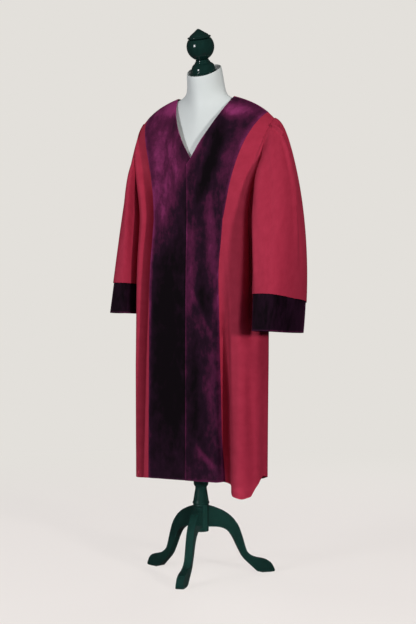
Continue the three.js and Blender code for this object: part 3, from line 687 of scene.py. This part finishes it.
def sleeveGrid(sleeve, t):
    # the surface at a column of t for each turn, and its place in the flat cloth
    turn = np.broadcast_to(turns, t.shape)
    outer, normal = sleeveSurface(sleeve, turn, t)
    threads = np.stack([turn * sleeveShape["round"], t * sleeveShape["long"]], axis=-1)
    return outer, normal, threads


def sleevePiece(name):
    sleeve = sleeves[name]
    end = placeAbove(sleeve, turns, cuffTop(sleeve) - cuff["tuck"])
    outer, normal, threads = sleeveGrid(sleeve, np.linspace(0, 1, grid["sleeve"] + 1)[:, None] * end)
    outer[0, :, 0] += sleeve["side"] * sleeveShape["armholeGap"]
    return clothShell(f"sleeve_{name}", outer, normal, robe["wall"], threads, wraps=True)


def cuffPiece(name):
    sleeve = sleeves[name]
    start = placeAbove(sleeve, turns, cuffTop(sleeve))
    down = np.linspace(0, 1, grid["cuff"] + 1)[:, None]
    outer, normal, threads = sleeveGrid(sleeve, start + (1 - start) * down)
    outer = outer + normal * cuff["lift"]
    wave = cuff["waveTone"] * np.sin(turns * cuff["waves"] + down * cuff["slant"])
    # a painted sheen lines both edges of the cuff, over a darker pile with faint slanted waves
    napAndSheen = paintedEdgeSheen(np.minimum(down, 1 - down) * sleeve["cuffHeight"]) - cuff["quiet"] + wave
    return clothShell(
        f"cuff_{name}", outer, normal, cuff["wall"], threads, wraps=True, edgeRound=cuff["edgeRound"], napAndSheen=napAndSheen
    )


# the dress form: y and z of each ring's front, side and back; square is how boxy it is in plan and
# fall how late it drops from the side to the front, and both are 2 where they aren't given
formRings = [
    {"halfWidth": 140, "front": (-52, 700), "side": (8, 700), "back": (66, 700), "square": 2.3},
    {"halfWidth": 146, "front": (-58, 760), "side": (8, 760), "back": (76, 760), "square": 2.3},
    {"halfWidth": 148, "front": (-58, 850), "side": (8, 850), "back": (78, 850), "square": 2.3},
    {"halfWidth": 136, "front": (-48, 1000), "side": (8, 1000), "back": (66, 1000), "square": 2.3},
    {"halfWidth": 144, "front": (-56, 1130), "side": (10, 1130), "back": (76, 1130), "square": 2.4},
    {"halfWidth": 172, "front": (-60, 1240), "side": (14, 1240), "back": (84, 1250), "square": 2.4},
    {"halfWidth": 196, "front": (-59, 1295), "side": (22, 1340), "back": (88, 1310), "square": 2.3},
    {"halfWidth": 202, "front": (-53, 1336), "side": (34, 1412), "back": (91, 1355)},
    {"halfWidth": 192, "front": (-44, 1366), "side": (41.6, 1448.8), "back": (92, 1380), "square": 1.5},
    {"halfWidth": 150, "front": (-36, 1396), "side": (37.4, 1466.9), "back": (93, 1408), "square": 1.42},
    {"halfWidth": 106, "front": (-27, 1430), "side": (32.5, 1484.6), "back": (95, 1432), "square": 1.36},
    {"halfWidth": 72, "front": (-20, 1460), "side": (34, 1498.5), "back": (94, 1466), "square": 1.7},
    {"halfWidth": 60, "front": (-21, 1500), "side": (34, 1526), "back": (90, 1526), "fall": 1.5},
    {"halfWidth": 56, "front": (-34, 1552), "side": (19.5, 1583), "back": (73, 1606), "fall": 1},
    {"halfWidth": 52, "front": (-30.5, 1552.6), "side": (19.5, 1581), "back": (69.5, 1602), "fall": 1},
    {"halfWidth": 50, "front": (-28.5, 1553.7), "side": (19.5, 1567.5), "back": (67.5, 1581.3), "fall": 1},
]


def ringsPiece(name, rings, isBoard=False):
    # closed rings of points joined into one body: a board's two ends are flat, and other ends are fans
    rings = np.array(rings, float)
    count, sides = rings.shape[:2]
    index = np.arange(count * sides).reshape(count, sides)
    ahead = np.roll(index, -1, axis=1)
    faces = np.stack([index[:-1], ahead[:-1], ahead[1:], index[1:]], axis=-1).reshape(-1, 4).tolist()
    points = rings.reshape(-1, 3)
    if isBoard:
        faces += [index[0, ::-1].tolist(), index[-1].tolist()]
    else:
        first, last = count * sides, count * sides + 1
        points = np.concatenate([points, [rings[0].mean(axis=0), rings[-1].mean(axis=0)]])
        faces += [[q, p, first] for p, q in zip(index[0].tolist(), ahead[0].tolist())]
        faces += [[p, q, last] for p, q in zip(index[-1].tolist(), ahead[-1].tolist())]
    mesh = bpy.data.meshes.new(name)
    mesh.from_pydata(inMetres(points), [], faces)
    return addPiece(mesh)


def torsoPiece():
    angles = np.arange(grid["form"]) / grid["form"] * 2 * np.pi
    sine, cosine = np.sin(angles), np.cos(angles)
    rings = []
    for ring in formRings:
        isBack = cosine > 0
        power = 2 / ring.get("square", 2)
        sideY, sideZ = ring["side"]
        endY, endZ = (np.where(isBack, ring["back"][i], ring["front"][i]) for i in (0, 1))
        x = ring["halfWidth"] * rounded(sine, power)
        y = sideY + (endY - sideY) * np.abs(cosine) ** power
        z = sideZ + (endZ - sideZ) * np.abs(cosine) ** ring.get("fall", 2)
        rings.append(np.stack([x, y, z], axis=-1))
    piece = ringsPiece("form_torso", rings)
    shell = piece.modifiers.new("smooth shell", "SUBSURF")
    shell.levels = shell.render_levels = 3
    return piece


cornerCut = 0.22  # the share of an edge that sanding and lacquer take off at each end


def cutCorner(a, b):
    return a * (1 - cornerCut) + b * cornerCut


def softProfile(profile):
    # the corners of a turned profile are cut twice; its two ends stay
    line = np.array(profile, float)
    for _ in range(2):
        inner = np.stack([cutCorner(line[:-1], line[1:]), cutCorner(line[1:], line[:-1])], axis=1)
        line = np.concatenate([line[:1], inner.reshape(-1, 2)[1:-1], line[-1:]])
    return line


def turnedPiece(name, profile, lean=0.0, foot=(0, 0, 0)):
    # the profile's two ends are on the axis, and fans close the piece there
    angles = np.arange(grid["turned"]) / grid["turned"] * 2 * np.pi
    sine, cosine = math.sin(math.radians(lean)), math.cos(math.radians(lean))
    rings = []
    for radius, height in softProfile(profile)[1:-1]:
        x, y = radius * np.cos(angles), radius * np.sin(angles)
        turned = xyz(x, y * cosine - height * sine, y * sine + height * cosine)
        rings.append(turned + np.array(foot))
    return ringsPiece(name, rings)


def arcPoints(centreRadius, centreHeight, radius, start, end, count):
    angles = np.radians(np.linspace(start, end, count + 1))
    return [(centreRadius + radius * math.cos(a), centreHeight + radius * math.sin(a)) for a in angles]


# the neck block leans with the form's neck; profiles are pairs of radius and height
neckBlock = {"lean": 16, "foot": (0, 19.5, 1567.8)}
finialBase = [
    (0, 0), (46, 0), *arcPoints(45, 2.5, 2.5, -90, 90, 4)[1:], (38.5, 6), (38.2, 13), (37, 20), (33.5, 27),
    (29, 31.5), (24.6, 34), (24.6, 37.4), (21, 39), (20.6, 46), (0, 46),
]
finialBall = [(0, 46.3), (20.6, 46.3), *arcPoints(0, 85, 43.6, -61, 36, 10)[1:], (0, 110.6)]
finialCap = [
    (0, 110.9), (32, 110.9), (36, 112.4), (37.2, 114.6), (36, 116.6), (30, 118.4), (29, 121.5),
    (22, 126.5), (13.5, 132.5), (6, 138.4), (2.5, 140.6), (0, 141),
]
# the legs start just clear of the hub, and the front one points a little to the wearer's left
stand = {"legStart": 24.8, "legThickness": 24, "legEdge": 2.2, "frontLegTurn": 13}
hubProfile = [(0, 136), (22.5, 136), (24.5, 138), (24.5, 220.4), (23.5, 221.4), (0, 221.4)]
columnProfile = [
    (0, 221.7), (24.5, 221.7), (26.2, 224), (26.2, 228.6), (24.2, 231), (23.6, 236), (20.4, 256), (17.6, 273),
    (18.4, 276), (22.4, 281), (23.4, 287), (22.8, 300), (19, 340), (17.5, 380), (17.5, 694), (17, 699.7),
    (0, 699.7),
]
legTop = [
    (stand["legStart"], 217), (50, 208), (77, 196), (99.5, 178), (119, 152), (132, 116), (142, 81),
    (149, 64), (172, 48), (211, 39.5), (227, 29), (238.7, 6),
]
legUnder = [
    (235, 0), (185, 0), (165, 19), (136, 46), (119, 78), (103, 112), (90, 131), (73.5, 143), (54, 149),
    (stand["legStart"], 151),
]


def legPiece(name, degrees):
    # a flat cut-out board: its outline's corners are cut, except where it meets the hub, and its
    # hub end is hollowed to fit
    outline = np.array([*legTop, *legUnder], float)
    hubFace = stand["legStart"]
    line = []
    for a, b in zip(outline, np.roll(outline, -1, axis=0)):
        startAtHub, endAtHub = a[0] <= hubFace, b[0] <= hubFace
        line.append(a if startAtHub else cutCorner(a, b))
        if not (startAtHub and endAtHub):
            line.append(b if endAtHub else cutCorner(b, a))
    line = np.array(line)
    angle = math.radians(degrees)
    out = np.array([math.cos(angle), math.sin(angle), 0])
    sideways = np.array([-math.sin(angle), math.cos(angle), 0])
    half = stand["legThickness"] / 2
    rings = []
    for y in np.linspace(-half, half, grid["leg"]):
        reach = np.where(line[:, 0] <= hubFace, math.sqrt(hubFace ** 2 - y ** 2), line[:, 0])
        rings.append(reach[:, None] * out + y * sideways + xyz(0, 0, line[:, 1]))
    piece = ringsPiece(name, rings, isBoard=True)
    roundEdges(piece, "eased edges", stand["legEdge"], 3, 50)
    return piece


def newMaterial(name, settings=()):
    # the settings are the same all over the surface, so they go on the shader's own sockets
    material = bpy.data.materials.new(name)
    material.use_nodes = True
    tree = material.node_tree
    shader = tree.nodes["Principled BSDF"]
    for socket, value in dict(settings).items():
        shader.inputs[socket].default_value = value
    return material, tree, shader


def woolFacecloth():
    # fine worsted wool with a soft pressed face: matt, a little fuzz that lightens where it turns away
    wool = {
        "lit": "#ac3048", "deep": "#a12a41", "fuzz": "#d0546a", "threadMm": 1.6, "mottleMm": 30,
        "waveMm": 0.314, "twill": 63,  # a band's width at scale 1, and the twill's angle in degrees
    }
    material, tree, shader = newMaterial("woolFacecloth", {
        "Roughness": 0.82, "Specular IOR Level": 0.2,
        "Sheen Weight": 0.12, "Sheen Roughness": 0.5, "Sheen Tint": fromHex(wool["fuzz"]),
    })
    threads = addNode(tree, "Attribute", {"attribute_name": "threads"}).outputs["Vector"]
    slope = addNode(
        tree, "VectorRotate", {"rotation_type": "Z_AXIS", "Angle": math.radians(wool["twill"])},
        {"Vector": threads},
    )
    # a twill's diagonal, drawn coarser than its 0.5 mm threads so that it can show
    twill = addNode(
        tree, "TexWave",
        {"wave_type": "BANDS", "bands_direction": "X", "Distortion": 0.6, "Detail": 1.0,
         "Scale": wool["waveMm"] / wool["threadMm"]},
        {"Vector": slope.outputs["Vector"]},
    )
    mottle = addNode(
        tree, "TexNoise", {"Scale": 1 / wool["mottleMm"], "Detail": 4.0, "Roughness": 0.6},
        {"Vector": threads},
    )
    spread = addNode(tree, "MapRange", {1: 0.3, 2: 0.7}, {0: mottle.outputs["Fac"]})
    colour = addNode(
        tree, "Mix", {"data_type": "RGBA", 6: fromHex(wool["deep"]), 7: fromHex(wool["lit"])},
        {0: spread.outputs[0]},
    )
    weave = addNode(
        tree, "Mix", {"data_type": "RGBA", "blend_type": "MULTIPLY", 0: 0.12},
        {6: colour.outputs[2], 7: twill.outputs["Color"]},
    )
    bump = addNode(tree, "Bump", {"Strength": 0.25, "Distance": 0.0003}, {"Height": twill.outputs["Fac"]})
    soft = addNode(
        tree, "Bump", {"Strength": 0.15, "Distance": 0.0012},
        {"Height": mottle.outputs["Fac"], "Normal": bump.outputs["Normal"]},
    )
    tree.links.new(weave.outputs[2], shader.inputs["Base Color"])
    tree.links.new(soft.outputs["Normal"], shader.inputs["Normal"])
    return material


def silkVelvet():
    # short upright pile, nearly black; painted sheen in plum lies over its strokes and along its turned edges
    pile = {
        "deep": "#0c070b", "quiet": "#241020", "brushedSheen": "#561d3e", "fullSheen": "#8a3264", "sheen": "#94407a",
        "patchMm": 34, "crushMm": 11, "tuftMm": 2.4,
    }
    material, tree, shader = newMaterial("silkVelvet", {
        "Roughness": 0.9, "Specular IOR Level": 0.1,
        "Sheen Weight": 0.42, "Sheen Roughness": 0.35, "Sheen Tint": fromHex(pile["sheen"]),
    })
    threads = addNode(tree, "Attribute", {"attribute_name": "threads"}).outputs["Vector"]
    napAndSheen = addNode(tree, "Attribute", {"attribute_name": "napAndSheen"}).outputs["Fac"]
    stretched = addNode(tree, "VectorMath", {"operation": "MULTIPLY", 1: (1.0, 0.5, 1.0)}, {0: threads})
    patch = addNode(
        tree, "TexNoise", {"Scale": 1 / pile["patchMm"], "Detail": 3.0, "Roughness": 0.6},
        {"Vector": stretched.outputs[0]},
    )
    # the tufts are drawn coarser than the pile's own 0.3 mm so that they can show
    tuft = addNode(tree, "TexNoise", {"Scale": 1 / pile["tuftMm"], "Detail": 2.0}, {"Vector": threads})
    crush = addNode(
        tree, "TexNoise", {"Scale": 1 / pile["crushMm"], "Detail": 3.0, "Roughness": 0.65},
        {"Vector": stretched.outputs[0]},
    )
    tones = []
    for noise, low, high in ((patch, 0.2, 0.52), (crush, -0.08, 0.08), (tuft, -0.05, 0.05)):
        spread = addNode(tree, "MapRange", {1: 0.3, 2: 0.7, 3: low, 4: high}, {0: noise.outputs["Fac"]})
        tones.append(spread.outputs[0])
    # the painted sheen and shade of the strokes weigh most, and the noises break them up
    tone = addNode(tree, "Math", {"operation": "MULTIPLY_ADD", 1: 0.55}, {0: napAndSheen, 2: tones[0]})
    crushed = addNode(tree, "Math", {"operation": "ADD"}, {0: tone.outputs[0], 1: tones[1]})
    tufted = addNode(
        tree, "Math", {"operation": "ADD", "use_clamp": True}, {0: crushed.outputs[0], 1: tones[2]}
    )
    # the ramp paints the tone from nearly black pile up through plum painted sheen
    ramp = addNode(tree, "ValToRGB", {}, {"Fac": tufted.outputs[0]})
    stops = ramp.color_ramp.elements
    stops[0].color, stops[1].color = fromHex(pile["deep"]), fromHex(pile["fullSheen"])
    for position, colour in ((0.35, "quiet"), (0.7, "brushedSheen")):
        stops.new(position).color = fromHex(pile[colour])
    bump = addNode(tree, "Bump", {"Strength": 0.3, "Distance": 0.0006}, {"Height": tuft.outputs["Fac"]})
    tree.links.new(ramp.outputs["Color"], shader.inputs["Base Color"])
    tree.links.new(bump.outputs["Normal"], shader.inputs["Normal"])
    return material


def facingCotton():
    # plain dark cotton: flat, no shine, a fine even grain
    cotton = {"dark": "#141d1b", "light": "#22302d", "grainMm": 1.5}
    material, tree, shader = newMaterial("facingCotton", {"Roughness": 0.85})
    threads = addNode(tree, "Attribute", {"attribute_name": "threads"}).outputs["Vector"]
    # its threads are 0.3 mm, drawn coarser so that they can show
    grain = addNode(tree, "TexNoise", {"Scale": 1 / cotton["grainMm"], "Detail": 2.0}, {"Vector": threads})
    colour = addNode(
        tree, "Mix", {"data_type": "RGBA", 6: fromHex(cotton["dark"]), 7: fromHex(cotton["light"])},
        {0: grain.outputs["Fac"]},
    )
    tree.links.new(colour.outputs[2], shader.inputs["Base Color"])
    return material


def formJersey():
    # pale jersey drawn tight over a hard shell: satin-matt, almost flat, with a trace of unevenness
    jersey = {"light": "#dde2e0", "shade": "#d3d9d7", "patchMm": 70, "knitMm": 1.11}
    material, tree, shader = newMaterial("formJersey", {"Roughness": 0.55})
    place = addNode(tree, "TexCoord").outputs["Object"]
    patch = addNode(tree, "TexNoise", {"Scale": 1000 / jersey["patchMm"], "Detail": 3.0}, {"Vector": place})
    # the knit is drawn coarser than its 0.5 mm stitches so that it can show
    knit = addNode(tree, "TexNoise", {"Scale": 1000 / jersey["knitMm"], "Detail": 1.0}, {"Vector": place})
    colour = addNode(
        tree, "Mix", {"data_type": "RGBA", 6: fromHex(jersey["shade"]), 7: fromHex(jersey["light"])},
        {0: patch.outputs["Fac"]},
    )
    bump = addNode(tree, "Bump", {"Strength": 0.12, "Distance": 0.0004}, {"Height": knit.outputs["Fac"]})
    tree.links.new(colour.outputs[2], shader.inputs["Base Color"])
    tree.links.new(bump.outputs["Normal"], shader.inputs["Normal"])
    return material


def greenLacquer():
    # turned hardwood under dark green gloss lacquer: sharp reflections, slight waves of brushed coats
    lacquer = {"dark": "#0c211d", "light": "#173530", "grainMm": 9}
    material, tree, shader = newMaterial("greenLacquer", {"Roughness": 0.1, "Specular IOR Level": 0.35})
    place = addNode(tree, "TexCoord").outputs["Object"]
    stretched = addNode(tree, "VectorMath", {"operation": "MULTIPLY", 1: (1.0, 1.0, 0.2)}, {0: place})
    grain = addNode(
        tree, "TexNoise", {"Scale": 1000 / lacquer["grainMm"], "Detail": 4.0, "Roughness": 0.6},
        {"Vector": stretched.outputs[0]},
    )
    colour = addNode(
        tree, "Mix", {"data_type": "RGBA", 6: fromHex(lacquer["dark"]), 7: fromHex(lacquer["light"])},
        {0: grain.outputs["Fac"]},
    )
    bump = addNode(tree, "Bump", {"Strength": 0.08, "Distance": 0.0004}, {"Height": grain.outputs["Fac"]})
    tree.links.new(colour.outputs[2], shader.inputs["Base Color"])
    tree.links.new(bump.outputs["Normal"], shader.inputs["Normal"])
    return material


def finished(piece, material, slot, *nodes):
    piece.data.materials.clear()
    piece.data.materials.append(material)
    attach(piece, "root")
    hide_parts(*nodes)
    return piece


wool, velvet, cotton = woolFacecloth(), silkVelvet(), facingCotton()
jersey, lacquer = formJersey(), greenLacquer()


print("robe: fronts, back and velvet")
for side, name in ((1, "left"), (-1, "right")):
    facing = finished(velvetPiece(side), velvet, "velvet", f"velvet_{name}")
    front = finished(frontPiece(side), wool, "crimson_cloth", f"front_{name}")
finished(backPiece(), wool, "crimson_cloth", "back")
facing = finished(neckFacingPiece(), cotton, "facing_cloth", "neck_facing")

print("robe: sleeves and cuffs")
for name in sleeves:
    sleeve = finished(sleevePiece(name), wool, "crimson_cloth", f"sleeve_{name}")
    turnedUp = finished(cuffPiece(name), velvet, "velvet", f"cuff_{name}")

print("dress form and stand")
finished(torsoPiece(), jersey, "form_shell", "torso")
for name, profile in (("finial_base", finialBase), ("finial_ball", finialBall), ("finial_cap", finialCap)):
    block = turnedPiece(f"form_{name}", profile, neckBlock["lean"], neckBlock["foot"])
    finished(block, lacquer, "green_lacquer", name)
finished(turnedPiece("form_column", columnProfile), lacquer, "green_lacquer", "column")
finished(turnedPiece("form_hub", hubProfile), lacquer, "green_lacquer", "hub")
for i, name in enumerate(("leg_front", "leg_left", "leg_right")):
    leg = legPiece(f"form_{name}", -90 + stand["frontLegTurn"] + 120 * i)
    finished(leg, lacquer, "green_lacquer", name)

print("studio: floor, lamps and camera")
studio = {
    "backdrop": "#e3e0db", "floor": "#e6e1de", "matt": "#8c8885", "room": "#dfe0e2", "floorGlow": 0.84,
    "roomGlow": 0.07, "fadeStart": 0.9, "fadeEnd": 3.2, "floorRadius": 40, "azimuth": 29,
    "distance": 5.0, "eye": 1.0, "lens": 92.3, "shift": (0.0112, -0.092),
}
back = Vector((math.sin(math.radians(studio["azimuth"])), -math.cos(math.radians(studio["azimuth"])), 0))
right = Vector((-back.y, back.x, 0))
axisPoint = Vector(standAxis)


def paleFloor():
    # a pale matt sweep: it keeps a soft shadow near the stand and fades into the backdrop's tone
    material, tree, shader = newMaterial("paleSweep")
    place = addNode(tree, "TexCoord").outputs["Object"]
    away = addNode(tree, "VectorMath", {"operation": "LENGTH"}, {0: place})
    fade = addNode(
        tree, "MapRange",
        {1: studio["fadeStart"], 2: studio["fadeEnd"], "interpolation_type": "SMOOTHSTEP"},
        {0: away.outputs["Value"]},
    )
    far = addNode(tree, "Emission", {"Color": fromHex(studio["backdrop"]), "Strength": 1.0})
    glow = addNode(
        tree, "Emission", {"Color": fromHex(studio["floor"]), "Strength": studio["floorGlow"]}
    )
    matt = addNode(tree, "BsdfDiffuse", {"Color": fromHex(studio["matt"])})
    near = addNode(tree, "AddShader", {}, {0: glow.outputs[0], 1: matt.outputs[0]})
    mixed = addNode(tree, "MixShader", {}, {0: fade.outputs[0], 1: near.outputs[0], 2: far.outputs[0]})
    tree.links.new(mixed.outputs[0], tree.nodes["Material Output"].inputs["Surface"])
    return material


bpy.ops.mesh.primitive_circle_add(
    vertices=96, radius=studio["floorRadius"], fill_type="NGON", location=axisPoint
)
floor = bpy.context.object
floor.name = "floor"
floor.data.materials.append(paleFloor())
# its glow is for the eye only, so that the folds and the gloss stay dark where the lamps don't reach
floor.visible_diffuse = floor.visible_glossy = False

# at is in metres from the stand: to the camera's right, towards the camera, and up. Only the soft
# box is let into the gloss of the lacquer, and spread is in degrees.
lamps = {
    "key": {"at": (2.32, 3.93, 1.3), "size": 0.42, "power": 114, "aim": 1.0, "colour": "#fffdfb"},
    "soft box": {"at": (-3.4, 2.8, 1.6), "size": 1.2, "power": 98, "aim": 1.05, "colour": "#fbfbff"},
    "top": {"at": (0.5, 2.4, 3.1), "size": 1.2, "power": 20, "aim": 1.2},
    "low": {"at": (0.2, 1.2, 0.1), "size": 0.3, "power": 0.3, "aim": 0.1, "spread": 22},
    "back": {"at": (1.3, -3.6, 1.7), "size": 1.4, "power": 34, "aim": 1.0},
    "rim": {"at": (-1.9, -1.4, 1.9), "size": 0.9, "power": 6, "aim": 1.2},
}
for name, row in lamps.items():
    data = bpy.data.lights.new(name, "AREA")
    data.shape, data.size, data.energy = "DISK", row["size"], row["power"]
    data.color = fromHex(row.get("colour", "#ffffff"))[:3]
    data.spread = math.radians(row.get("spread", 180))
    lamp = bpy.data.objects.new(name, data)
    bpy.context.scene.collection.objects.link(lamp)
    across, toward, height = row["at"]
    lamp.location = axisPoint + right * across + back * toward + Vector((0, 0, height))
    target = axisPoint + Vector((0, 0, row["aim"]))
    lamp.rotation_euler = (target - lamp.location).to_track_quat("-Z", "Y").to_euler()
    lamp.visible_glossy = name == "soft box"

# the eye sees the backdrop's colour, and the pieces only a faint grey glow
world = bpy.data.worlds.new("pale studio")
world.use_nodes = True
bpy.context.scene.world = world
tree = world.node_tree
seen = tree.nodes["Background"]
seen.inputs["Color"].default_value = fromHex(studio["backdrop"])
room = addNode(
    tree, "Background", {"Color": fromHex(studio["room"]), "Strength": studio["roomGlow"]}
)
ray = addNode(tree, "LightPath").outputs["Is Camera Ray"]
both = addNode(tree, "MixShader", {}, {0: ray, 1: room.outputs[0], 2: seen.outputs[0]})
tree.links.new(both.outputs[0], tree.nodes["World Output"].inputs["Surface"])

cameraData = bpy.data.cameras.new("camera")
cameraData.lens = studio["lens"]
cameraData.shift_x, cameraData.shift_y = studio["shift"]
camera = bpy.data.objects.new("camera", cameraData)
bpy.context.scene.collection.objects.link(camera)
camera.location = axisPoint + back * studio["distance"] + Vector((0, 0, studio["eye"]))
camera.rotation_euler = (-back).to_track_quat("-Z", "Y").to_euler()
bpy.context.scene.camera = camera
bpy.context.scene.view_settings.view_transform = "Standard"
